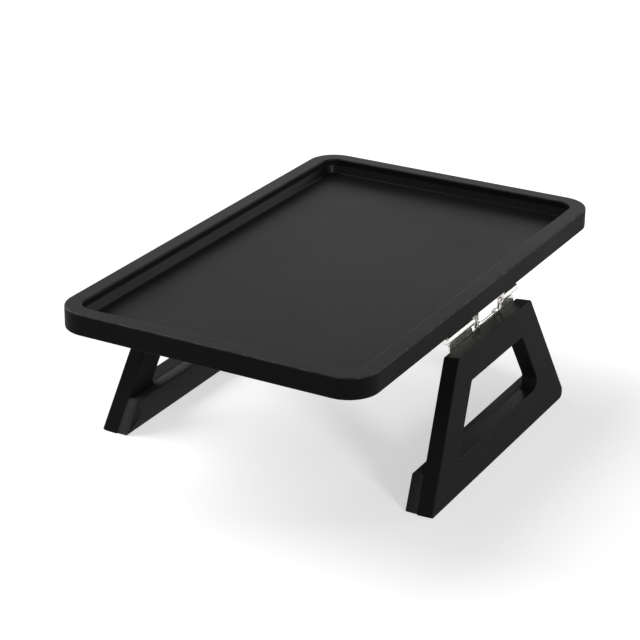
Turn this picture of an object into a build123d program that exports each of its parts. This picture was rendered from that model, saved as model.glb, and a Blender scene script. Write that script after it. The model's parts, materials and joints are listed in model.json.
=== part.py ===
from build123d import *
import math
import os

os.makedirs("parts", exist_ok=True)

# A sofa arm tray on two folding legs. Sizes are in millimetres: X runs across the sofa arm,
# Y along it, and Z up from the floor that the tray stands on here.

# Tray board
tray_width = 250.0
tray_length = 400.0
tray_height = 135.0
tray_thickness = 16.5
tray_corner_radius = 24.0
rim_width = 12.8
rim_edge_radius = 1.2
base_edge_radius = 1.0

# Recess: an upright lip, then a wall that leans in down to the floor
floor_thickness = 4.7
lip_depth = 5.4
wall_lean = 23.0
recess_cove_radius = 1.6

# Legs, leaning outwards when they stand
leg_splay = 5.57
leg_thickness = 12.5
leg_top_width = 126.6
leg_foot_width = 240.0
leg_top_drop = 9.4
top_bar_height = 23.9
bottom_bar_height = 26.4
side_bar_width = 32.2
leg_top_corner_radius = 2.5
leg_front_corner_radius = 1.5
leg_rear_corner_radius = 6.0
hole_top_corner_radius = 2.5
hole_front_corner_radius = 2.0
hole_rear_corner_radius = 8.0
leg_edge_radius = 0.8

# Clamp pads on the inside of the legs
pad_thickness = 10.0
pad_end_inset = 0.4
pad_floor_gap = 0.4
pad_edge_radius = 0.6

# Hinge axis, from the tray's edge and its underside
axis_inset = 8.0
axis_drop = 10.0

# Hinge leaves, bent from sheet
leaf_gauge = 1.2
pin_radius = 2.0
pin_fit = 0.05
knuckle_gap = 0.3
leaf_width = 24.0
leaf_end_inset = 4.5
leaf_corner_radius = 2.0
shoulder_gap = 0.75

# Knuckles, from each end of the hinge towards its open middle
long_end = 57.5
long_outer_knuckle = 16.5
long_middle_knuckle = 17.0
long_inner_knuckle = 9.0
short_end = 62.5
short_outer_knuckle = 11.5
short_middle_knuckle = 11.5
short_inner_knuckle = 3.3

# Pin heads
pin_head_radius = 2.5
pin_head_height = 0.9
pin_head_round = 0.6

# Wire bail that snaps the leg open or shut
wire_radius = 1.0
wire_fit = 0.1
wire_seat_gap = 0.3
run_drop = 7.2
pivot_offset = 2.55
bend_radius = 1.5
ear_offset = 2.8
ear_radius = 2.6
ear_root_width = 11.8
ear_root_height = 2.5
arm_offset = 1.8
eyelet_wall = 0.9
eyelet_fit = 0.15
eyelet_play = 0.85
eyelet_length = 3.0
eyelet_offset = 4.0

# Screws
screw_shank_radius = 1.6
screw_fit = 0.05
screw_head_radius = 3.2
screw_head_height = 1.5
screw_head_round = 0.7
leg_screw_length = 9.5
screw_end_gap = 0.3
screw_cover = 0.6
screw_tip_length = 2.0
screw_tip_radius = 0.5
cross_width = 0.7
cross_length = 3.4
cross_depth = 0.8
screw_end_inset = 7.0
screw_pitch = 24.0

# Places that follow from the sizes above
underside = tray_height - tray_thickness
recess_floor = underside + floor_thickness
axis_height = underside - axis_drop
axis_place = tray_width / 2 - axis_inset
barrel_radius = pin_radius + pin_fit + leaf_gauge
bore_radius = pin_radius + pin_fit
inner_face = leaf_gauge / 2
outer_face = inner_face + leg_thickness
splay = math.radians(leg_splay)
leg_end_drop = (axis_height + outer_face * math.sin(splay)) / math.cos(splay)
leg_length = leg_end_drop - leg_top_drop
edge_lean = (leg_foot_width - leg_top_width) / 2 / leg_length
hole_top_drop = leg_top_drop + top_bar_height
hole_foot_drop = leg_end_drop - bottom_bar_height
leaf_edge_drop = run_drop + wire_radius + wire_seat_gap
shoulder_drop = barrel_radius + shoulder_gap
leaf_bottom_drop = leaf_edge_drop + leaf_width - barrel_radius
leaf_start = leaf_end_inset - long_end
leaf_stop = short_end - leaf_end_inset
leg_screw_drop = (leg_top_drop + leaf_bottom_drop) / 2
tray_screw_place = -leaf_width / 2 - barrel_radius / 2
tray_hole_depth = floor_thickness - screw_cover
tray_screw_length = leaf_gauge + tray_hole_depth - screw_end_gap
leg_hole_depth = leg_screw_length - leaf_gauge + screw_end_gap
fold_angle = 90 + leg_splay


def knuckle_spans():
    """Spans of the knuckles along the hinge, as (start, stop, leaf)."""
    spans = []
    place = -long_end
    for length, leaf in ((long_outer_knuckle, "tray"), (long_middle_knuckle, "leg"),
                         (long_inner_knuckle, "tray")):
        spans.append((place, place + length, leaf))
        place += length
    place = short_end
    for length, leaf in ((short_outer_knuckle, "tray"), (short_middle_knuckle, "leg"),
                         (short_inner_knuckle, "tray")):
        spans.append((place - length, place, leaf))
        place -= length
    return spans


spans = knuckle_spans()
long_stop = max(stop for start, stop, leaf in spans if stop < 0)
short_start = min(start for start, stop, leaf in spans if start > 0)
ear_starts = (long_stop + ear_offset, short_start - ear_offset - leaf_gauge)
arm_places = (ear_starts[0] + leaf_gauge + arm_offset, ear_starts[1] - arm_offset)
hook_ends = (ear_starts[0] - wire_radius, ear_starts[1] + leaf_gauge + wire_radius)
eyelet_starts = (arm_places[0] + eyelet_offset, arm_places[1] - eyelet_offset - eyelet_length)
screw_places = {
    "long": (leaf_start + screw_end_inset, leaf_start + screw_end_inset + screw_pitch),
    "short": (leaf_stop - screw_end_inset - screw_pitch, leaf_stop - screw_end_inset),
}

# The bail's pivot lies across the axis from the middle of its run's travel, so that the wire
# is stretched most half way and pulls the leg towards either end.
run_open = Vector(run_drop * math.sin(splay), run_drop * math.cos(splay))
run_folded = Vector(-run_drop, 0)
pivot = (run_open + run_folded).normalized() * -pivot_offset
arm_open = run_open - pivot
arm_folded = run_folded - pivot
arm_length = arm_open.length
bail_swing = arm_open.get_angle(arm_folded)


def side_plane(sign, lean):
    """Plane on the hinge axis: x along the hinge, y up the leg, z outwards."""
    outwards = (sign * math.cos(lean), 0, math.sin(lean))
    return Plane(origin=(sign * axis_place, 0, axis_height), x_dir=(0, sign, 0), z_dir=outwards)


def section_plane(plane, place):
    """Plane across the hinge at a place along it: x outwards, y down."""
    origin = plane.origin + plane.x_dir * place
    return Plane(origin=origin, x_dir=plane.z_dir, z_dir=plane.x_dir)


def half_width(drop):
    """Half the leg's width at a distance below the axis."""
    return leg_top_width / 2 + edge_lean * (drop - leg_top_drop)


def foot_corner(outline, end):
    """The foot corner of an outline towards one end of its own x."""
    corners = outline.vertices().group_by(Axis.Y)[0].sort_by(Axis.X)
    return corners[-1] if end > 0 else corners[0]


def save(piece, node):
    piece.part.label = node
    export_step(piece.part, f"parts/{node}.step")


def level_face(piece, height):
    """The level face nearest to a height."""
    return piece.faces().filter_by(Axis.Z).sort_by(lambda face: abs(face.center().Z - height))[0]


def make_tray_panel():
    lip_foot = tray_height - lip_depth
    with BuildPart() as tray:
        with BuildSketch(Plane.XY.offset(underside)):
            RectangleRounded(tray_width, tray_length, tray_corner_radius)
        extrude(amount=tray_thickness)
        fillet(level_face(tray, underside).edges(), base_edge_radius)
        with BuildSketch(Plane.XY.offset(tray_height)) as mouth:
            RectangleRounded(tray_width - 2 * rim_width, tray_length - 2 * rim_width,
                             tray_corner_radius - rim_width)
        extrude(amount=-lip_depth, mode=Mode.SUBTRACT)
        with BuildSketch(Plane.XY.offset(lip_foot)):
            add(mouth.sketch)
        extrude(amount=recess_floor - lip_foot, taper=wall_lean, mode=Mode.SUBTRACT)
        fillet(level_face(tray, recess_floor).edges(), recess_cove_radius)
        fillet(level_face(tray, tray_height).edges(), rim_edge_radius)
        for sign in (1, -1):
            screw_line = sign * (axis_place + tray_screw_place)
            with BuildSketch(Plane.XY.offset(underside)):
                with Locations(*[(screw_line, sign * place) for place in all_places()]):
                    Circle(screw_shank_radius + screw_fit)
            extrude(amount=tray_hole_depth, mode=Mode.SUBTRACT)
    save(tray, "tray_panel")


def make_leg_frame(side, leg_plane):
    front = -leg_plane.x_dir.Y
    with BuildPart() as leg:
        with BuildSketch(leg_plane.offset(inner_face)) as outline:
            with BuildLine():
                top, foot = half_width(leg_top_drop), half_width(leg_end_drop)
                Polyline((-top, -leg_top_drop), (top, -leg_top_drop), (foot, -leg_end_drop),
                         (-foot, -leg_end_drop), close=True)
            make_face()
            fillet(outline.vertices().group_by(Axis.Y)[-1], leg_top_corner_radius)
            fillet(foot_corner(outline, front), leg_front_corner_radius)
            fillet(foot_corner(outline, -front), leg_rear_corner_radius)
        extrude(amount=leg_thickness)
        with BuildSketch(leg_plane.offset(inner_face)) as hole:
            with BuildLine():
                top = half_width(hole_top_drop) - side_bar_width
                foot = half_width(hole_foot_drop) - side_bar_width
                Polyline((-top, -hole_top_drop), (top, -hole_top_drop), (foot, -hole_foot_drop),
                         (-foot, -hole_foot_drop), close=True)
            make_face()
            fillet(hole.vertices().group_by(Axis.Y)[-1], hole_top_corner_radius)
            fillet(foot_corner(hole, front), hole_front_corner_radius)
            fillet(foot_corner(hole, -front), hole_rear_corner_radius)
        extrude(amount=leg_thickness, mode=Mode.SUBTRACT)
        fillet(leg.faces().filter_by(leg_plane).edges(), leg_edge_radius)
        split(bisect_by=Plane.XY, keep=Keep.TOP)
        with BuildSketch(leg_plane.offset(inner_face)):
            with Locations(*[(place, -leg_screw_drop) for place in all_places()]):
                Circle(screw_shank_radius + screw_fit)
        extrude(amount=leg_hole_depth, mode=Mode.SUBTRACT)
    save(leg, f"{side}_leg_frame")


def make_clamp_pad(side, leg_plane):
    front = -leg_plane.x_dir.Y
    with BuildPart() as pad:
        with BuildSketch(leg_plane.offset(inner_face)) as outline:
            with BuildLine():
                top = half_width(hole_foot_drop) - pad_end_inset
                foot = half_width(leg_end_drop) - pad_end_inset
                Polyline((-top, -hole_foot_drop), (top, -hole_foot_drop), (foot, -leg_end_drop),
                         (-foot, -leg_end_drop), close=True)
            make_face()
            fillet(foot_corner(outline, front), leg_front_corner_radius)
            fillet(foot_corner(outline, -front), leg_rear_corner_radius)
        extrude(amount=-pad_thickness)
        inboard = pad.faces().filter_by(leg_plane).sort_by(Axis(leg_plane.origin, leg_plane.z_dir))
        fillet(inboard[0].edges(), pad_edge_radius)
        split(bisect_by=Plane.XY.offset(pad_floor_gap), keep=Keep.TOP)
    save(pad, f"{side}_clamp_pad")


def owned_spans(owner):
    """Start and length of each knuckle of one leaf, with its running gap taken off."""
    return [(start + knuckle_gap / 2, stop - start - knuckle_gap)
            for start, stop, leaf in spans if leaf == owner]


def all_places():
    return [place for pair in screw_places.values() for place in pair]


def make_leg_leaf(side, leg_plane):
    with BuildPart() as leaf:
        with BuildSketch(leg_plane.offset(-leaf_gauge / 2)) as blank:
            with BuildLine():
                Polyline((leaf_start, -shoulder_drop), (leaf_stop, -shoulder_drop),
                         (leaf_stop, -leaf_bottom_drop), (leaf_start, -leaf_bottom_drop), close=True)
            make_face()
            with Locations(((long_stop + short_start) / 2, 0)):
                Rectangle(short_start - long_stop, 2 * leaf_edge_drop, mode=Mode.SUBTRACT)
            fillet(blank.vertices(), leaf_corner_radius)
            for start, length in owned_spans("leg"):
                with Locations((start + length / 2, -leaf_edge_drop / 2)):
                    Rectangle(length, leaf_edge_drop + 2 * leaf_corner_radius)
        extrude(amount=leaf_gauge)
        for start, length in owned_spans("leg"):
            with BuildSketch(section_plane(leg_plane, start)):
                Circle(barrel_radius)
            extrude(amount=length)
            with BuildSketch(section_plane(leg_plane, start - knuckle_gap)):
                Circle(bore_radius)
            extrude(amount=length + 2 * knuckle_gap, mode=Mode.SUBTRACT)
        for start in eyelet_starts:
            bore = wire_radius + eyelet_fit
            with BuildSketch(section_plane(leg_plane, start)):
                with Locations((0, run_drop - eyelet_play / 2)):
                    SlotCenterToCenter(eyelet_play, 2 * (bore + eyelet_wall), rotation=90)
            extrude(amount=eyelet_length)
            with BuildSketch(section_plane(leg_plane, start)):
                with Locations((0, run_drop - eyelet_play / 2)):
                    SlotCenterToCenter(eyelet_play, 2 * bore, rotation=90)
            extrude(amount=eyelet_length, mode=Mode.SUBTRACT)
        with BuildSketch(leg_plane.offset(-leaf_gauge / 2)):
            with Locations(*[(place, -leg_screw_drop) for place in all_places()]):
                Circle(screw_shank_radius + screw_fit)
        extrude(amount=leaf_gauge, mode=Mode.SUBTRACT)
    save(leaf, f"{side}_leg_leaf")


def make_tray_leaf(side, level_plane):
    plate_edge = leaf_gauge - barrel_radius
    with BuildPart() as leaf:
        with BuildSketch(section_plane(level_plane, -long_end + knuckle_gap / 2)):
            with Locations((plate_edge, -axis_drop)):
                Rectangle(leaf_width, leaf_gauge, align=(Align.MAX, Align.MIN))
        extrude(amount=long_end + short_end - knuckle_gap)
        upright_edges = leaf.edges().filter_by(Axis.Z).group_by(lambda edge: abs(edge.center().X))[0]
        fillet(upright_edges, leaf_corner_radius)
        for start, length in owned_spans("tray"):
            with BuildSketch(section_plane(level_plane, start)):
                Circle(barrel_radius)
                with Locations((-barrel_radius, -axis_drop)):
                    Rectangle(leaf_gauge, axis_drop, align=(Align.MIN, Align.MIN))
                Circle(bore_radius, mode=Mode.SUBTRACT)
            extrude(amount=length)
        for start in ear_starts:
            ear_top = leaf_gauge - axis_drop
            ear_edge = pivot.X + ear_radius
            with BuildSketch(section_plane(level_plane, start)):
                with Locations((pivot.X, pivot.Y)):
                    Circle(ear_radius)
                with Locations((ear_edge, ear_top)):
                    Rectangle(2 * ear_radius, pivot.Y - ear_top, align=(Align.MAX, Align.MIN))
                    Rectangle(ear_root_width, ear_root_height, align=(Align.MAX, Align.MIN))
                with Locations((pivot.X, pivot.Y)):
                    Circle(wire_radius + wire_fit, mode=Mode.SUBTRACT)
            extrude(amount=leaf_gauge)
        with BuildSketch(Plane.XY.offset(underside - leaf_gauge)):
            with Locations(*[tray_screw_point(level_plane, place) for place in all_places()]):
                Circle(screw_shank_radius + screw_fit)
        extrude(amount=leaf_gauge, mode=Mode.SUBTRACT)
    save(leaf, f"{side}_tray_leaf")


def tray_screw_point(level_plane, place):
    """Where a tray screw stands, seen from above."""
    point = level_plane.origin + level_plane.x_dir * place + level_plane.z_dir * tray_screw_place
    return (point.X, point.Y)


def make_pin(side, end, level_plane, start, stop, head_end):
    """A hinge pin, headed at the end of the hinge."""
    head_start = start if head_end < 0 else stop
    with BuildPart() as pin:
        with BuildSketch(section_plane(level_plane, start)):
            Circle(pin_radius)
        extrude(amount=stop - start)
        with BuildSketch(section_plane(level_plane, head_start)):
            Circle(pin_head_radius)
        extrude(amount=head_end * pin_head_height)
        outwards = Axis(level_plane.origin, level_plane.x_dir * head_end)
        rims = pin.edges().filter_by(GeomType.CIRCLE).sort_by(outwards)
        fillet(rims[-1], pin_head_round)
    save(pin, f"{side}_{end}_hinge_pin")


def make_bail_spring(side, level_plane):
    along = level_plane.x_dir
    pivot_point = (level_plane.origin + level_plane.z_dir * pivot.X
                   - level_plane.y_dir * pivot.Y)
    arm = level_plane.z_dir * arm_open.X - level_plane.y_dir * arm_open.Y
    bail_plane = Plane(origin=pivot_point, x_dir=along, z_dir=along.cross(-arm))
    with BuildPart() as bail:
        with BuildLine(bail_plane) as path:
            FilletPolyline((hook_ends[0], 0), (arm_places[0], 0), (arm_places[0], -arm_length),
                           (arm_places[1], -arm_length), (arm_places[1], 0), (hook_ends[1], 0),
                           radius=bend_radius)
        with BuildSketch(path.line ^ 0):
            Circle(wire_radius)
        sweep(path=path.line)
    save(bail, f"{side}_bail_spring")


def make_screws(node, head_planes, length):
    """Pan-head wood screws, with their heads' undersides on the given planes."""
    with BuildPart() as screws:
        for plane in head_planes:
            with BuildSketch(plane):
                Circle(screw_shank_radius)
            extrude(amount=length - screw_tip_length)
            with BuildSketch(plane.offset(length - screw_tip_length)):
                Circle(screw_shank_radius)
            with BuildSketch(plane.offset(length)):
                Circle(screw_tip_radius)
            loft()
            with BuildSketch(plane):
                Circle(screw_head_radius)
            extrude(amount=-screw_head_height)
            crown = plane.offset(-screw_head_height)
            crown_face = screws.faces().sort_by_distance(crown.origin)[0]
            fillet(crown_face.edges(), screw_head_round)
            with BuildSketch(crown):
                Rectangle(cross_length, cross_width)
                Rectangle(cross_width, cross_length)
            extrude(amount=cross_depth, mode=Mode.SUBTRACT)
    save(screws, node)


def make_hinge_screws(side, ends, leg_plane, level_plane):
    for group, end in ends.items():
        leg_heads = []
        tray_heads = []
        for place in screw_places[group]:
            head = leg_plane.offset(-leaf_gauge / 2)
            origin = head.origin + head.x_dir * place - head.y_dir * leg_screw_drop
            leg_heads.append(Plane(origin=origin, x_dir=head.x_dir, z_dir=head.z_dir))
            x, y = tray_screw_point(level_plane, place)
            tray_heads.append(Plane(origin=(x, y, underside - leaf_gauge)))
        make_screws(f"{side}_{end}_leg_screws", leg_heads, leg_screw_length)
        make_screws(f"{side}_{end}_tray_screws", tray_heads, tray_screw_length)


make_tray_panel()

# The left hinge is the right one turned half round, so its long end points to the rear.
for side, sign in (("right", 1), ("left", -1)):
    leg_plane = side_plane(sign, splay)
    level_plane = side_plane(sign, 0)
    ends = {"long": "front", "short": "rear"} if sign > 0 else {"long": "rear", "short": "front"}
    make_leg_frame(side, leg_plane)
    make_clamp_pad(side, leg_plane)
    make_leg_leaf(side, leg_plane)
    make_tray_leaf(side, level_plane)
    make_pin(side, ends["long"], level_plane, knuckle_gap / 2 - long_end, long_stop, -1)
    make_pin(side, ends["short"], level_plane, short_start, short_end - knuckle_gap / 2, 1)
    make_bail_spring(side, level_plane)
    make_hinge_screws(side, ends, leg_plane, level_plane)

print("hinge axis, x and z:", axis_place, axis_height)
print("bail pivot, x and z:", round(axis_place + pivot.X, 3), round(axis_height - pivot.Y, 3))
print("leg folds by", fold_angle, "degrees and the bail by", round(bail_swing, 3))
print("bail turns per turn of the leg:", round(bail_swing / fold_angle, 5))
print("bail is longest by", round(run_drop + pivot_offset - arm_length, 3), "half way")
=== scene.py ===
import json
import math

import bmesh
import bpy
from mathutils import Matrix, Vector


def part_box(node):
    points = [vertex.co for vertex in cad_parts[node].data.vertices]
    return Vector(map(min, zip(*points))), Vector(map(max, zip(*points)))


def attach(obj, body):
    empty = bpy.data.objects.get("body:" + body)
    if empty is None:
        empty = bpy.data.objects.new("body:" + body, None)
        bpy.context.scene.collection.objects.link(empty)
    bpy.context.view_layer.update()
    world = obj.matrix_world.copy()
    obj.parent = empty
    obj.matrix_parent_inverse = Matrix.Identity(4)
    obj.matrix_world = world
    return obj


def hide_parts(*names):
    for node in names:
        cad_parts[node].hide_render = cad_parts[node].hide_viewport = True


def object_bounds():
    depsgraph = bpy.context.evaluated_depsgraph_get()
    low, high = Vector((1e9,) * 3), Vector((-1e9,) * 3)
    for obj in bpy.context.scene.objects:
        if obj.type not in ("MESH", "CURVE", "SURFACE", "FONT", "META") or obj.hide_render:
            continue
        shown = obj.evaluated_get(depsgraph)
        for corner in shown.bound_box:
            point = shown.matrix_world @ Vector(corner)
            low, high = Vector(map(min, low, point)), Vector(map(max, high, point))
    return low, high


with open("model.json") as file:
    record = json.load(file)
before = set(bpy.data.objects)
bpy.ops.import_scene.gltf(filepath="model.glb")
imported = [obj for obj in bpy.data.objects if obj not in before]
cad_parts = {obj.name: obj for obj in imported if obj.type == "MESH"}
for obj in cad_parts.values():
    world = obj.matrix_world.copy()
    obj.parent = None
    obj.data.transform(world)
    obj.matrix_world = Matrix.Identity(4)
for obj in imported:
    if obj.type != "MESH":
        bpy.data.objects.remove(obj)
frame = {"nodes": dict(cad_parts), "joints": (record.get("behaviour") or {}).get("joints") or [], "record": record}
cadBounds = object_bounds()
cadNodes = frame["nodes"]
joints = {joint["name"]: joint for joint in frame["joints"]}
scene = bpy.context.scene
scene.view_settings.view_transform = "Standard"
print("stage: frame loaded,", len(cadNodes), "nodes")


# Camera, fitted to the straight edges of the tray and its legs
cameraSettings = {
    "azimuth": 28.734,  # degrees, round from the front towards the right
    "elevation": 23.419,
    "roll": 0.707,
    "distance": 1.582754,
    "slideRight": 0.01585,  # the tray's centre stands this far off the picture's centre
    "slideUp": 0.051903,
    "focalPixels": 2089.905,
    "framePixels": 640,
    "sensorWidth": 36.0,
}


def makeCamera(settings):
    azimuth = math.radians(settings["azimuth"])
    elevation = math.radians(settings["elevation"])
    level = math.cos(elevation)
    back = Vector((math.sin(azimuth) * level, -math.cos(azimuth) * level, math.sin(elevation)))
    right = (-back).cross(Vector((0, 0, 1))).normalized()
    up = right.cross(-back)
    turn = Matrix.Rotation(-math.radians(settings["roll"]), 3, -back)
    right, up = turn @ right, turn @ up
    aim = Vector((0, 0, cadBounds[1][2]))
    place = aim + back * settings["distance"]
    place -= right * settings["slideRight"] + up * settings["slideUp"]
    lens = bpy.data.cameras.new("photoCamera")
    lens.sensor_width = settings["sensorWidth"]
    lens.lens = settings["focalPixels"] * settings["sensorWidth"] / settings["framePixels"]
    camera = bpy.data.objects.new("photoCamera", lens)
    camera.matrix_world = Matrix.Translation(place) @ Matrix((right, up, back)).transposed().to_4x4()
    scene.collection.objects.link(camera)
    scene.camera = camera


makeCamera(cameraSettings)
print("stage: camera placed")


# Small helpers for node trees
def addNode(tree, kind, inputs=None, **options):
    node = tree.nodes.new(kind)
    for key, value in options.items():
        setattr(node, key, value)
    for key, value in (inputs or {}).items():
        if isinstance(value, bpy.types.NodeSocket):
            tree.links.new(value, node.inputs[key])
        else:
            node.inputs[key].default_value = value
    return node


def calculate(tree, operation, first, second=0.0, clamp=False):
    return addNode(tree, "ShaderNodeMath", {0: first, 1: second}, operation=operation,
                   use_clamp=clamp).outputs[0]


def multiply(tree, first, *others):
    for other in others:
        first = calculate(tree, "MULTIPLY", first, other)
    return first


def average(tree, first, second):
    return multiply(tree, calculate(tree, "ADD", first, second), 0.5)


# Maps a value from one range to another, held at the ends
def spread(tree, value, low, high, newLow=0.0, newHigh=1.0):
    return addNode(tree, "ShaderNodeMapRange", {"Value": value, "From Min": low, "From Max": high,
                                                "To Min": newLow, "To Max": newHigh}).outputs[0]


def mixColours(tree, amount, first, second):
    return addNode(tree, "ShaderNodeMix", {0: amount, 6: first, 7: second},
                   data_type="RGBA").outputs[2]


def placeOnObject(tree, stretch=(1, 1, 1)):
    spot = addNode(tree, "ShaderNodeTexCoord").outputs["Object"]
    return addNode(tree, "ShaderNodeMapping", {"Vector": spot, "Scale": stretch}).outputs[0]


def grainNoise(tree, spot, scale, detail=2.0, roughness=0.5):
    return addNode(tree, "ShaderNodeTexNoise", {"Vector": spot, "Scale": scale, "Detail": detail,
                                                "Roughness": roughness}).outputs["Fac"]


# How close a point is to an edge, from 0 on the flat to 1 at the edge
def edgeAmount(tree, radius, reach):
    rounded = addNode(tree, "ShaderNodeBevel", {"Radius": radius}, samples=8).outputs[0]
    flat = addNode(tree, "ShaderNodeNewGeometry").outputs["Normal"]
    match = addNode(tree, "ShaderNodeVectorMath", {0: rounded, 1: flat}, operation="DOT_PRODUCT")
    return spread(tree, match.outputs["Value"], 1.0, 1.0 - reach)


def bump(tree, height, distance, normal=None):
    inputs = {"Height": height, "Distance": distance}
    if normal:
        inputs["Normal"] = normal
    return addNode(tree, "ShaderNodeBump", inputs).outputs[0]


def startMaterial(name, **shaderValues):
    material = bpy.data.materials.new(name)
    material.use_nodes = True
    shader = material.node_tree.nodes["Principled BSDF"]
    for key, value in shaderValues.items():
        shader.inputs[key].default_value = value
    return material, material.node_tree, shader


# Satin paint on routed board. Noise scales are in cells per metre
paintSettings = {
    "trayPaint": {"colour": (0.0050, 0.0048, 0.0046, 1), "worn": (0.020, 0.019, 0.018, 1),
                  # the pale rim colour is a painted highlight along the rounded edges of the tray's rim
                  "paintedRimSheen": (0.110, 0.106, 0.102, 1), "specular": 0.050},
    "legPaint": {"colour": (0.0100, 0.0094, 0.0089, 1), "worn": (0.022, 0.021, 0.020, 1),
                 "specular": 0.036},
    "roughness": (0.26, 0.37),  # from the best levelled paint to the worst
    "glossRange": (0.35, 0.65),
    "uprightDull": 0.28,  # the board's sides drink the paint, so they are duller
    "uprightRange": (0.3, 0.1),
    "peel": {"scale": 950.0, "detail": 3.0},  # the sprayed paint's fine peel
    "peelHeight": 0.000012,
    "grain": {"scale": 620.0, "detail": 4.0, "roughness": 0.62},  # pores of the board under the paint
    "grainStretch": (1.0, 0.045, 1.0),
    "poreRange": (0.38, 0.62),
    "grainHeight": 0.000010,
    "cloud": {"scale": 14.0, "detail": 3.0},  # broad unevenness left by the spray gun
    "cloudLift": 1.16,
    "dustScale": 420.0,
    "dustSize": 0.085,
    "dustPatch": {"scale": 70.0, "detail": 0.0},  # where dust settled at all
    "dustRange": (0.58, 0.64),
    "dustPale": 0.35,
    "dustHeight": 0.000018,
    "edgeRadius": 0.0011,
    "edgeReach": 0.22,
    "edgeWear": 0.55,
    "edgeShine": 0.12,
    "patch": {"scale": 160.0, "detail": 3.0},  # the wear of the edges comes and goes
    "patchRange": (0.42, 0.62),
    "patchLeast": 0.25,
    "rimSheenRange": (0.15, 0.40),  # painted highlight: how far the rounded edges of the tray's rim are lightened, patchy like wear
    "rimSheenDepth": 0.0012,
    "rimSheenTilt": ((0.15, 0.40), (0.998, 0.97)),  # how level the part of the rounding with the painted highlight is
    "lipSheenShare": 0.30,  # the recess's lip gets less of the painted highlight than the outer edge
}


# How much painted highlight the rounded edges of the tray's rim get, patchy like wear
def rimSheenAmount(tree, settings, spot, patchy, facing, upward):
    height = addNode(tree, "ShaderNodeSeparateXYZ", {0: spot}).outputs["Z"]
    rimFoot = cadBounds[1][2] - settings["rimSheenDepth"]
    paintedRimSheen = spread(tree, patchy, settings["patchLeast"], 1.0, *settings["rimSheenRange"])
    paintedRimSheen = multiply(tree, paintedRimSheen, calculate(tree, "GREATER_THAN", height, rimFoot))
    for steep, level in settings["rimSheenTilt"]:
        paintedRimSheen = multiply(tree, paintedRimSheen, spread(tree, upward, steep, level))
    sideways = addNode(tree, "ShaderNodeVectorMath", {0: spot, 1: (1, 1, 0)}, operation="MULTIPLY")
    away = addNode(tree, "ShaderNodeVectorMath", {0: sideways.outputs[0], 1: facing},
                   operation="DOT_PRODUCT").outputs["Value"]
    outer = calculate(tree, "GREATER_THAN", away, 0.0)
    return multiply(tree, paintedRimSheen, spread(tree, outer, 0.0, 1.0, settings["lipSheenShare"], 1.0))


def makePaint(name, settings):
    coat = settings[name]
    material, tree, shader = startMaterial(name, **{"Specular IOR Level": coat["specular"]})
    plain = placeOnObject(tree)
    peel = grainNoise(tree, plain, **settings["peel"])
    grainSpot = placeOnObject(tree, stretch=settings["grainStretch"])
    pores = spread(tree, grainNoise(tree, grainSpot, **settings["grain"]), *settings["poreRange"])
    cloud = grainNoise(tree, plain, **settings["cloud"])
    specks = addNode(tree, "ShaderNodeTexVoronoi", {"Vector": plain, "Scale": settings["dustScale"]})
    speck = spread(tree, specks.outputs["Distance"], settings["dustSize"], 0.0)
    settled = grainNoise(tree, plain, **settings["dustPatch"])
    dust = multiply(tree, speck, spread(tree, settled, *settings["dustRange"]))

    edge = edgeAmount(tree, settings["edgeRadius"], settings["edgeReach"])
    patchy = spread(tree, grainNoise(tree, plain, **settings["patch"]), *settings["patchRange"],
                    settings["patchLeast"], 1.0)
    worn = multiply(tree, edge, patchy, settings["edgeWear"])
    facing = addNode(tree, "ShaderNodeNewGeometry").outputs["Normal"]
    upward = addNode(tree, "ShaderNodeSeparateXYZ", {0: facing}).outputs["Z"]
    pale = [channel * settings["cloudLift"] for channel in coat["colour"][:3]] + [1]
    base = mixColours(tree, cloud, coat["colour"], pale)
    base = mixColours(tree, multiply(tree, dust, settings["dustPale"]), base, coat["worn"])
    base = mixColours(tree, worn, base, coat["worn"])
    # Painted highlight: the rim's rounded edges are lightened towards the pale rim colour
    if "paintedRimSheen" in coat:
        paintedRimSheen = rimSheenAmount(tree, settings, plain, patchy, facing, upward)
        base = mixColours(tree, paintedRimSheen, base, coat["paintedRimSheen"])
    tree.links.new(base, shader.inputs["Base Color"])

    gloss = average(tree, peel, cloud)
    roughness = spread(tree, gloss, *settings["glossRange"], *settings["roughness"])
    shine = multiply(tree, worn, settings["edgeShine"])
    dull = spread(tree, upward, *settings["uprightRange"], 0.0, settings["uprightDull"])
    roughness = calculate(tree, "ADD", calculate(tree, "SUBTRACT", roughness, shine), dull)
    tree.links.new(roughness, shader.inputs["Roughness"])

    normal = bump(tree, peel, settings["peelHeight"])
    normal = bump(tree, pores, settings["grainHeight"], normal)
    normal = bump(tree, dust, settings["dustHeight"], normal)
    tree.links.new(normal, shader.inputs["Normal"])
    return material


# Foam rubber of the clamp pads
rubberSettings = {
    "colour": (0.0055, 0.0055, 0.0057, 1),
    "pale": (0.0095, 0.0095, 0.0097, 1),
    "specular": 0.25,
    "roughness": (0.72, 0.90),
    "cellScale": 1500.0,
    "cellHeight": 0.00006,
    "skin": {"scale": 420.0, "detail": 4.0, "roughness": 0.6},
    "paleRange": (0.35, 0.7),
    "dullRange": (0.3, 0.7),
    "skinHeight": 0.00005,
}


def makeRubber(settings):
    material, tree, shader = startMaterial("gripRubber", **{"Specular IOR Level": settings["specular"]})
    spot = placeOnObject(tree)
    cells = addNode(tree, "ShaderNodeTexVoronoi", {"Vector": spot, "Scale": settings["cellScale"]},
                    feature="SMOOTH_F1").outputs["Distance"]
    skin = grainNoise(tree, spot, **settings["skin"])
    base = mixColours(tree, spread(tree, skin, *settings["paleRange"]), settings["colour"],
                      settings["pale"])
    tree.links.new(base, shader.inputs["Base Color"])
    roughness = spread(tree, skin, *settings["dullRange"], *settings["roughness"])
    tree.links.new(roughness, shader.inputs["Roughness"])
    normal = bump(tree, cells, settings["cellHeight"])
    normal = bump(tree, skin, settings["skinHeight"], normal)
    tree.links.new(normal, shader.inputs["Normal"])
    return material


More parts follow.
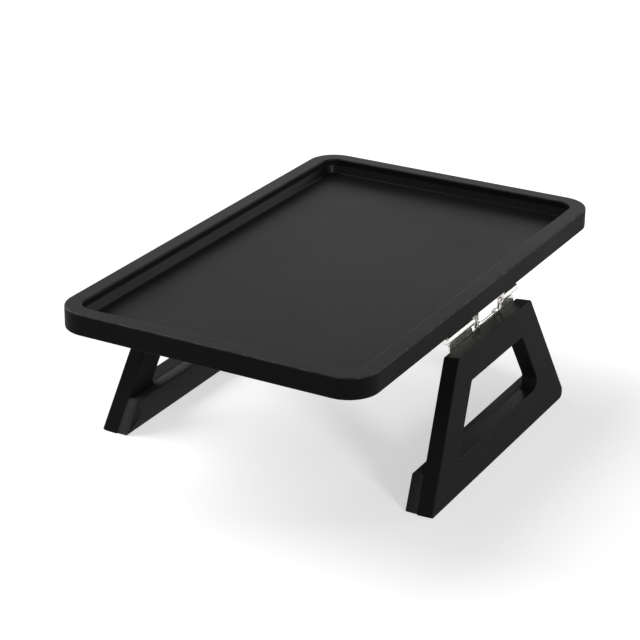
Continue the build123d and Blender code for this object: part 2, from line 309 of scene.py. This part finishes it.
# Bright metals of the hinges
metalSettings = {
    "hingePlate": {
        "colour": (0.70, 0.685, 0.655, 1), "dull": (0.47, 0.455, 0.43, 1),
        "roughness": (0.13, 0.30), "lineStretch": (0.9, 0.05, 0.9), "lineScale": 2600.0,
        "lineHeight": 0.0000016, "spotScale": 260.0,
    },
    "pinSteel": {
        "colour": (0.73, 0.72, 0.70, 1), "dull": (0.52, 0.51, 0.49, 1),
        "roughness": (0.11, 0.24), "lineStretch": (1.0, 1.0, 1.0), "lineScale": 1800.0,
        "lineHeight": 0.0000012, "spotScale": 420.0,
    },
    "springWire": {
        "colour": (0.74, 0.73, 0.71, 1), "dull": (0.50, 0.49, 0.47, 1),
        "roughness": (0.12, 0.26), "lineStretch": (1.0, 0.03, 1.0), "lineScale": 3200.0,
        "lineHeight": 0.0000020, "spotScale": 300.0,
    },
    "screwSteel": {
        "colour": (0.72, 0.71, 0.69, 1), "dull": (0.42, 0.41, 0.40, 1),
        "roughness": (0.16, 0.34), "lineStretch": (1.0, 1.0, 0.25), "lineScale": 2200.0,
        "lineHeight": 0.0000018, "spotScale": 500.0,
    },
    "lineNoise": {"detail": 3.0, "roughness": 0.6},
    "spotNoise": {"detail": 4.0, "roughness": 0.65},
    "handledSize": 5.0,  # a handled patch is this many spots wide
    "handledRange": (0.4, 0.65),
    "stainRange": (0.52, 0.72),
    "stainDepth": 0.6,
    "glossRange": (0.36, 0.64),
    "edgeRadius": 0.0004,
    "edgeReach": 0.3,
}


def makeMetal(name, settings):
    metal = settings[name]
    material, tree, shader = startMaterial(name, Metallic=1.0)
    spot = placeOnObject(tree)
    lineSpot = placeOnObject(tree, stretch=metal["lineStretch"])
    lines = grainNoise(tree, lineSpot, metal["lineScale"], **settings["lineNoise"])
    spots = grainNoise(tree, spot, metal["spotScale"], **settings["spotNoise"])
    handled = spread(tree, grainNoise(tree, spot, metal["spotScale"] / settings["handledSize"]),
                     *settings["handledRange"])
    edge = edgeAmount(tree, settings["edgeRadius"], settings["edgeReach"])
    stain = multiply(tree, spread(tree, spots, *settings["stainRange"]), handled,
                     calculate(tree, "SUBTRACT", 1.0, edge, True), settings["stainDepth"])
    tree.links.new(mixColours(tree, stain, metal["colour"], metal["dull"]), shader.inputs["Base Color"])
    uneven = average(tree, lines, spots)
    tree.links.new(spread(tree, uneven, *settings["glossRange"], *metal["roughness"]),
                   shader.inputs["Roughness"])
    tree.links.new(bump(tree, lines, metal["lineHeight"]), shader.inputs["Normal"])
    return material


materials = {
    "tray_paint": makePaint("trayPaint", paintSettings),
    "leg_paint": makePaint("legPaint", paintSettings),
    "grip_rubber": makeRubber(rubberSettings),
    "hinge_plate": makeMetal("hingePlate", metalSettings),
    "pin_steel": makeMetal("pinSteel", metalSettings),
    "spring_wire": makeMetal("springWire", metalSettings),
    "screw_steel": makeMetal("screwSteel", metalSettings),
}
slots = {part["node"]: part["material_slot"] for part in frame["record"]["subparts"]}
for node, piece in cadNodes.items():
    for index in range(len(piece.material_slots)):
        piece.material_slots[index].material = materials[slots[node]]
print("stage: materials on the packed nodes")


# A leg's own axes: along the hinge, down the leg and outwards from its inner face
def legAxes(side):
    fold = joints[f"{side}_leg_fold"]
    lean = math.radians(fold["range_deg"][1] - 90)
    sign = 1 if fold["pos_m"][0] > 0 else -1
    down = Vector((sign * math.sin(lean), 0, -math.cos(lean)))
    outwards = Vector((sign * math.cos(lean), 0, math.sin(lean)))
    return Vector(fold["pos_m"]), Vector((0, 1, 0)), down, outwards


# Lowest and highest reach of a node along one of its leg's axes
def legSpan(side, node, axis):
    origin = legAxes(side)[0]
    reach = [(vertex.co - origin).dot(axis) for vertex in cadNodes[node].data.vertices]
    return min(reach), max(reach)


def finishPiece(name, mesh, slot, body, replaced):
    mesh.materials.clear()
    mesh.materials.append(materials[slot])
    piece = bpy.data.objects.new(name, mesh)
    scene.collection.objects.link(piece)
    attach(piece, body)
    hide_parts(*replaced)
    return piece


# Clamp pads: foam rubber strips with a crowned face and soft edges
padSettings = {
    "frontCorner": 0.0015,
    "rearCorner": 0.006,
    "cornerSteps": 7,
    "edgeRound": 0.0013,
    "edgeSteps": 5,
    "crown": 0.00045,
    "crownSteps": 6,
    "leastCorner": 0.0006,
    "sameSpot": 0.00001,  # points closer than this count as one
}


# One end of the strip's outline, from its top corner round its foot corner, as (along, down) points
def padEnd(top, slope, high, low, radius, steps):
    lean = Vector((slope, 1)).normalized()
    corner = math.pi / 2 + math.atan(slope)  # turn at the foot corner
    foot = Vector((top + slope * (low - high), low))
    start = foot - lean * radius * math.tan(corner / 2)
    centre = start + Vector((-lean.y, lean.x)) * radius
    first = math.atan2(start.y - centre.y, start.x - centre.x)
    points = [(top, high)]
    for step in range(steps + 1):
        angle = first + corner * step / steps
        points.append((centre.x + radius * math.cos(angle), centre.y + radius * math.sin(angle)))
    return points


# Rings from the strip's glued back to the middle of its crown, as (inset, depth) pairs
def padRings(settings, thick, tall):
    crown, rounding = settings["crown"], settings["edgeRound"]
    rings = [(0.0, 0.0), (0.0, thick - rounding - crown)]
    for step in range(1, settings["edgeSteps"] + 1):
        angle = math.pi / 2 * step / settings["edgeSteps"]
        rings.append((rounding * (1 - math.cos(angle)), thick - crown - rounding * (1 - math.sin(angle))))
    width = tall / 2 - settings["leastCorner"]
    for step in range(1, settings["crownSteps"] + 1):
        share = step / settings["crownSteps"]
        rings.append((rounding + (width - rounding) * share, thick - crown * (1 - share) ** 2))
    return rings


# Closes a stack of equal rings of points into one skin
def skinMesh(name, form, loops, sameSpot):
    count = len(loops[0])
    for lower, upper in zip(loops, loops[1:]):
        for index in range(count):
            after = (index + 1) % count
            form.faces.new((lower[index], lower[after], upper[after], upper[index]))
    form.faces.new(list(reversed(loops[0])))
    form.faces.new(loops[-1])
    bmesh.ops.remove_doubles(form, verts=form.verts, dist=sameSpot)
    bmesh.ops.recalc_face_normals(form, faces=form.faces)
    mesh = bpy.data.meshes.new(name)
    form.to_mesh(mesh)
    form.free()
    for polygon in mesh.polygons:
        polygon.use_smooth = len(polygon.vertices) == 4
    return mesh


def makePad(side, settings):
    node = f"{side}_clamp_pad"
    origin, along, down, outwards = legAxes(side)
    high = legSpan(side, node, down)[0]
    low = legSpan(side, f"{side}_leg_frame", down)[1]
    inboard, back = legSpan(side, node, outwards)
    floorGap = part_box(node)[0][2]
    points = [vertex.co - origin for vertex in cadNodes[node].data.vertices]
    points = [(abs(point.y), point.dot(down) - high) for point in points]
    top = max(half for half, drop in points if drop < settings["sameSpot"])
    slope = max((half - top) / drop for half, drop in points if drop > settings["edgeRound"])
    stretch = math.sqrt(1 + slope * slope)

    form = bmesh.new()
    loops = []
    for inset, depth in padRings(settings, back - inboard, low - high):
        outline = []
        for corner, sign in (("rearCorner", 1), ("frontCorner", -1)):
            radius = max(settings[corner] - inset, settings["leastCorner"])
            end = padEnd(top + inset * (slope - stretch), slope, high + inset, low - inset, radius,
                         settings["cornerSteps"])
            outline += [(sign * half, drop) for half, drop in end[::sign]]
        place = back - depth
        cut = (floorGap - origin.z - outwards.z * place) / down.z - inset  # the foot is cut level
        loops.append([form.verts.new(origin + along * half + down * min(drop, cut) + outwards * place)
                      for half, drop in outline])
    mesh = skinMesh(f"{side}ClampPad", form, loops, settings["sameSpot"])
    pad = finishPiece(f"{side}ClampPad", mesh, "grip_rubber", f"{side}_leg", [node])


for side in ("right", "left"):
    makePad(side, padSettings)
print("stage: clamp pads made")


# Pan-head wood screws. Lengths run down from the head's underside, which sits on the hinge leaf
screwSettings = {
    "headRadius": 0.0032,
    "headHeight": 0.0015,
    "coreRadius": 0.00115,
    "threadDepth": 0.00045,
    "threadPitch": 0.0014,
    "threadWidth": 0.0009,
    "plainNeck": 0.0016,
    "tipLength": 0.002,
    "crossLength": 0.0034,
    "crossWidth": 0.0007,
    "crossDepth": 0.0008,
    "crossTaper": 0.35,
    "turnSeed": 7,
}
screwDetail = {"sides": 32, "headRings": 11, "threadSteps": 160, "domePower": 0.45, "domeLift": 0.8,
               "threadStart": 0.12, "threadEnd": 0.94, "rootSink": 0.96, "sharpAngle": 0.6,
               "sameSpot": 0.000001}


# A grid's points as shares of its first way and as ring numbers of its second way
def ringGrid(tree, steps, rings):
    grid = addNode(tree, "GeometryNodeMeshGrid", {"Size X": 1.0, "Size Y": 1.0,
                                                  "Vertices X": steps + 1, "Vertices Y": rings})
    spot = addNode(tree, "GeometryNodeInputPosition").outputs[0]
    spot = addNode(tree, "ShaderNodeSeparateXYZ", {0: spot}).outputs
    share = calculate(tree, "ADD", spot["X"], 0.5)
    ring = multiply(tree, calculate(tree, "ADD", spot["Y"], 0.5), rings - 1)
    return grid.outputs["Mesh"], share, ring


def placeRound(tree, mesh, turns, radius, height):
    angle = multiply(tree, turns, math.tau)
    spot = addNode(tree, "ShaderNodeCombineXYZ", {
        0: multiply(tree, radius, calculate(tree, "COSINE", angle)),
        1: multiply(tree, radius, calculate(tree, "SINE", angle)),
        2: height}).outputs[0]
    return addNode(tree, "GeometryNodeSetPosition", {"Geometry": mesh, "Position": spot}).outputs[0]


def joined(tree, *meshes):
    join = addNode(tree, "GeometryNodeJoinGeometry")
    for mesh in meshes:
        tree.links.new(mesh, join.inputs[0])
    return join.outputs[0]


def welded(tree, mesh, distance):
    return addNode(tree, "GeometryNodeMergeByDistance", {"Geometry": mesh,
                                                         "Distance": distance}).outputs[0]


def screwHead(tree, given, detail):
    rings = detail["headRings"]
    mesh, share, ring = ringGrid(tree, detail["sides"], rings)
    arc = spread(tree, ring, 1.0, rings - 1.0, 0.0, math.pi / 2)
    level = calculate(tree, "MAXIMUM", calculate(tree, "COSINE", arc), 0.0)
    dome = multiply(tree, given["headRadius"], calculate(tree, "POWER", level, detail["domePower"]))
    radius = addNode(tree, "GeometryNodeSwitch", {
        "Switch": calculate(tree, "LESS_THAN", ring, 0.5), "False": dome,
        "True": given["coreRadius"]}, input_type="FLOAT").outputs[0]
    lift = calculate(tree, "POWER", calculate(tree, "SINE", arc), detail["domeLift"])
    return placeRound(tree, mesh, share, radius, multiply(tree, given["headHeight"], lift))


# The bare shank: a point, the top of its cone and the head's underside
def screwCore(tree, given, detail):
    mesh, share, ring = ringGrid(tree, detail["sides"], 3)
    pastPoint = calculate(tree, "MINIMUM", ring, 1.0)
    radius = multiply(tree, given["coreRadius"], pastPoint)
    cone = multiply(tree, given["tipLength"], pastPoint)
    plain = calculate(tree, "SUBTRACT", given["length"], given["tipLength"])
    climb = multiply(tree, plain, spread(tree, ring, 1.0, 2.0))
    height = calculate(tree, "SUBTRACT", calculate(tree, "ADD", cone, climb), given["length"])
    return placeRound(tree, mesh, share, radius, height)


# The thread: a three-sided ridge that winds up the shank and fades out at both ends
def screwThread(tree, given, detail):
    mesh, share, ring = ringGrid(tree, detail["threadSteps"], 4)
    reach = calculate(tree, "SUBTRACT", given["length"], given["plainNeck"])
    climb = multiply(tree, share, reach)
    turns = calculate(tree, "DIVIDE", climb, given["threadPitch"])
    fade = calculate(tree, "MINIMUM", spread(tree, share, 0.0, detail["threadStart"]),
                     spread(tree, share, 1.0, detail["threadEnd"]))
    cone = spread(tree, climb, 0.0, given["tipLength"])
    root = multiply(tree, given["coreRadius"], cone, detail["rootSink"])
    offCrest = calculate(tree, "ABSOLUTE", calculate(tree, "SUBTRACT", ring, 1.0))
    ridge = calculate(tree, "SUBTRACT", 1.0, offCrest, True)
    depth = multiply(tree, given["threadDepth"], ridge, fade)
    side = calculate(tree, "SUBTRACT", calculate(tree, "MODULO", ring, 3.0), 1.0)
    width = multiply(tree, given["threadWidth"], 0.5, fade)
    height = calculate(tree, "ADD", climb, multiply(tree, side, width))
    height = calculate(tree, "SUBTRACT", height, given["length"])
    return placeRound(tree, mesh, turns, calculate(tree, "ADD", root, depth), height)


# A tapered slot of the cross recess, cut into the crown
def cutSlot(tree, given, body, long, wide):
    depth = multiply(tree, given["crossDepth"], 2.0)
    size = addNode(tree, "ShaderNodeCombineXYZ", {0: long, 1: wide, 2: depth}).outputs[0]
    block = addNode(tree, "GeometryNodeMeshCube", {"Size": size}).outputs["Mesh"]
    spot = addNode(tree, "GeometryNodeInputPosition").outputs[0]
    low = calculate(tree, "LESS_THAN", addNode(tree, "ShaderNodeSeparateXYZ", {0: spot}).outputs["Z"], 0.0)
    narrow = calculate(tree, "SUBTRACT", 1.0, multiply(tree, low, given["crossTaper"]))
    scale = addNode(tree, "ShaderNodeCombineXYZ", {0: narrow, 1: narrow, 2: 1.0}).outputs[0]
    shaped = addNode(tree, "ShaderNodeVectorMath", {0: spot, 1: scale}, operation="MULTIPLY").outputs[0]
    lift = addNode(tree, "ShaderNodeCombineXYZ", {2: given["headHeight"]}).outputs[0]
    block = addNode(tree, "GeometryNodeSetPosition", {"Geometry": block, "Position": shaped,
                                                      "Offset": lift}).outputs[0]
    return addNode(tree, "GeometryNodeMeshBoolean", {"Mesh 1": body, "Mesh 2": block},
                   operation="DIFFERENCE", solver="EXACT").outputs["Mesh"]


def makeScrewTree(settings, detail):
    tree = bpy.data.node_groups.new("woodScrew", "GeometryNodeTree")
    tree.interface.new_socket("seats", in_out="INPUT", socket_type="NodeSocketGeometry")
    for name, value in settings.items():
        kind = "NodeSocketInt" if isinstance(value, int) else "NodeSocketFloat"
        tree.interface.new_socket(name, in_out="INPUT", socket_type=kind)
    tree.interface.new_socket("length", in_out="INPUT", socket_type="NodeSocketFloat")
    tree.interface.new_socket("metal", in_out="INPUT", socket_type="NodeSocketMaterial")
    tree.interface.new_socket("screws", in_out="OUTPUT", socket_type="NodeSocketGeometry")
    given = addNode(tree, "NodeGroupInput").outputs

    solid = joined(tree, screwHead(tree, given, detail), screwCore(tree, given, detail))
    body = welded(tree, solid, detail["sameSpot"])
    body = cutSlot(tree, given, body, given["crossLength"], given["crossWidth"])
    body = cutSlot(tree, given, body, given["crossWidth"], given["crossLength"])
    thread = welded(tree, screwThread(tree, given, detail), detail["sameSpot"])
    bend = addNode(tree, "GeometryNodeInputMeshEdgeAngle").outputs["Unsigned Angle"]
    smooth = addNode(tree, "GeometryNodeSetShadeSmooth", {
        "Geometry": joined(tree, body, thread),
        "Shade Smooth": calculate(tree, "LESS_THAN", bend, detail["sharpAngle"])}, domain="EDGE")

    facing = addNode(tree, "GeometryNodeInputNamedAttribute", {"Name": "outwards"},
                     data_type="FLOAT_VECTOR").outputs["Attribute"]
    upright = addNode(tree, "FunctionNodeAlignRotationToVector", {"Vector": facing}, axis="Z").outputs[0]
    chance = addNode(tree, "FunctionNodeRandomValue", {2: 0.0, 3: math.tau, "Seed": given["turnSeed"]},
                     data_type="FLOAT").outputs[1]
    turn = addNode(tree, "FunctionNodeAxisAngleToRotation", {"Axis": (0, 0, 1), "Angle": chance})
    driven = addNode(tree, "FunctionNodeRotateRotation", {"Rotation": upright,
                                                          "Rotate By": turn.outputs[0]},
                     rotation_space="LOCAL").outputs[0]
    placed = addNode(tree, "GeometryNodeInstanceOnPoints", {
        "Points": given["seats"], "Instance": smooth.outputs[0], "Rotation": driven}).outputs[0]
    real = addNode(tree, "GeometryNodeRealizeInstances", {"Geometry": placed}).outputs[0]
    plated = addNode(tree, "GeometryNodeSetMaterial", {"Geometry": real, "Material": given["metal"]})
    addNode(tree, "NodeGroupOutput", {"screws": plated.outputs[0]})
    return tree


# Where the heads of a node's two screws sit on their leaf, and how long its screws are below them
def screwSeats(node, outwards, headHeight):
    along = Vector((0, 1, 0))
    across = along.cross(outwards)
    points = [vertex.co for vertex in cadNodes[node].data.vertices]
    middle = sum(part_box(node)[corner][1] for corner in (0, 1)) / 2
    levels = [point.dot(outwards) for point in points]
    length = max(levels) - min(levels) - headHeight
    seats = []
    for half in ([point for point in points if point.y < middle],
                 [point for point in points if point.y > middle]):
        seat = outwards * (max(point.dot(outwards) for point in half) - headHeight)
        for way in (along, across):
            reach = [point.dot(way) for point in half]
            seat += way * (min(reach) + max(reach)) / 2
        seats.append(seat)
    return seats, length


def makeScrews(name, body, facings, tree, settings):
    seats, outwards = [], []
    for node, facing in facings.items():
        found, length = screwSeats(node, facing, settings["headHeight"])
        seats += found
        outwards += list(facing) * len(found)
    mesh = bpy.data.meshes.new(f"{name}Seats")
    mesh.from_pydata(seats, [], [])
    mesh.attributes.new("outwards", "FLOAT_VECTOR", "POINT").data.foreach_set("vector", outwards)
    holder = bpy.data.objects.new(f"{name}Seats", mesh)
    scene.collection.objects.link(holder)
    modifier = holder.modifiers.new("woodScrew", "NODES")
    modifier.node_group = tree
    given = {**settings, "length": length, "metal": materials["screw_steel"]}
    for socket in tree.interface.items_tree:
        if socket.name in given:
            modifier[socket.identifier] = given[socket.name]
    bpy.context.view_layer.update()
    finished = holder.evaluated_get(bpy.context.evaluated_depsgraph_get())
    screws = bpy.data.meshes.new_from_object(finished)
    bpy.data.objects.remove(holder)
    print("stage:", name, len(seats), "screws,", len(screws.vertices), "points")
    finishPiece(name, screws, "screw_steel", body, list(facings))


screwTree = makeScrewTree(screwSettings, screwDetail)
for side in ("right", "left"):
    inboardWay = -legAxes(side)[3]
    makeScrews(f"{side}LegScrews", f"{side}_leg",
               {f"{side}_{end}_leg_screws": inboardWay for end in ("front", "rear")},
               screwTree, screwSettings)
makeScrews("trayScrews", "tray", {f"{side}_{end}_tray_screws": Vector((0, 0, -1))
                                  for side in ("right", "left") for end in ("front", "rear")},
           screwTree, screwSettings)


# Floor, lamps and the white room
roomSettings = {
    "floorSize": 14.0,
    "floorColour": (0.64, 0.64, 0.64, 1),
    "floorRoughness": 0.9,
    "floorBounce": (0.15, 0.15, 0.15, 1),  # what the floor throws back at the object
    "floorGlow": 0.55,
    "ambient": 0.18,
    "lamps": {
        "topLamp": {"strength": 2.8, "angle": 50.0, "elevation": 42.0, "azimuth": 262.0},
        "sideLamp": {"strength": 1.4, "angle": 12.0, "elevation": 21.0, "azimuth": 61.0},
        "rearLamp": {"strength": 0.42, "angle": 20.0, "elevation": 15.0, "azimuth": 140.0},
    },
}


# 1 for what the camera sees itself, in a mirror or through glass
def seenAmount(tree):
    path = addNode(tree, "ShaderNodeLightPath").outputs
    seen = calculate(tree, "MAXIMUM", path["Is Camera Ray"], path["Is Glossy Ray"])
    return calculate(tree, "MAXIMUM", seen, path["Is Transmission Ray"])


def makeWorld(settings):
    world = bpy.data.worlds.new("studio")
    scene.world = world
    world.use_nodes = True
    tree = world.node_tree
    tree.nodes.clear()
    lit = addNode(tree, "ShaderNodeBackground", {"Color": (1, 1, 1, 1), "Strength": settings["ambient"]})
    white = addNode(tree, "ShaderNodeBackground", {"Color": (1, 1, 1, 1), "Strength": 1.0})
    mixed = addNode(tree, "ShaderNodeMixShader", {0: seenAmount(tree), 1: lit.outputs[0],
                                                  2: white.outputs[0]})
    addNode(tree, "ShaderNodeOutputWorld", {"Surface": mixed.outputs[0]})


def makeFloor(settings):
    half = settings["floorSize"] / 2
    mesh = bpy.data.meshes.new("studioFloor")
    corners = [(-half, -half, 0), (half, -half, 0), (half, half, 0), (-half, half, 0)]
    mesh.from_pydata(corners, [], [(0, 1, 2, 3)])
    material, tree, shader = startMaterial("studioFloor", Roughness=settings["floorRoughness"], **{
        "Base Color": settings["floorColour"], "Specular IOR Level": 0.0,
        "Emission Color": (1, 1, 1, 1), "Emission Strength": settings["floorGlow"]})
    bounce = addNode(tree, "ShaderNodeBsdfDiffuse", {"Color": settings["floorBounce"]})
    mixed = addNode(tree, "ShaderNodeMixShader", {0: seenAmount(tree), 1: bounce.outputs[0],
                                                  2: shader.outputs[0]})
    tree.links.new(mixed.outputs[0], tree.nodes["Material Output"].inputs["Surface"])
    mesh.materials.append(material)
    floor = bpy.data.objects.new("studioFloor", mesh)
    scene.collection.objects.link(floor)


# A soft lamp. Azimuth 0 is in front, 90 on the right and 180 behind
def makeSun(name, strength, angle, elevation, azimuth):
    lamp = bpy.data.lights.new(name, "SUN")
    lamp.energy = strength
    lamp.angle = math.radians(angle)
    sun = bpy.data.objects.new(name, lamp)
    level = math.cos(math.radians(elevation))
    turn = math.radians(azimuth)
    towards = Vector((math.sin(turn) * level, -math.cos(turn) * level,
                      math.sin(math.radians(elevation))))
    sun.matrix_world = towards.to_track_quat("Z", "Y").to_matrix().to_4x4()
    scene.collection.objects.link(sun)


makeWorld(roomSettings)
makeFloor(roomSettings)
for name, lampSettings in roomSettings["lamps"].items():
    makeSun(name, **lampSettings)
print("stage: room and lamps")
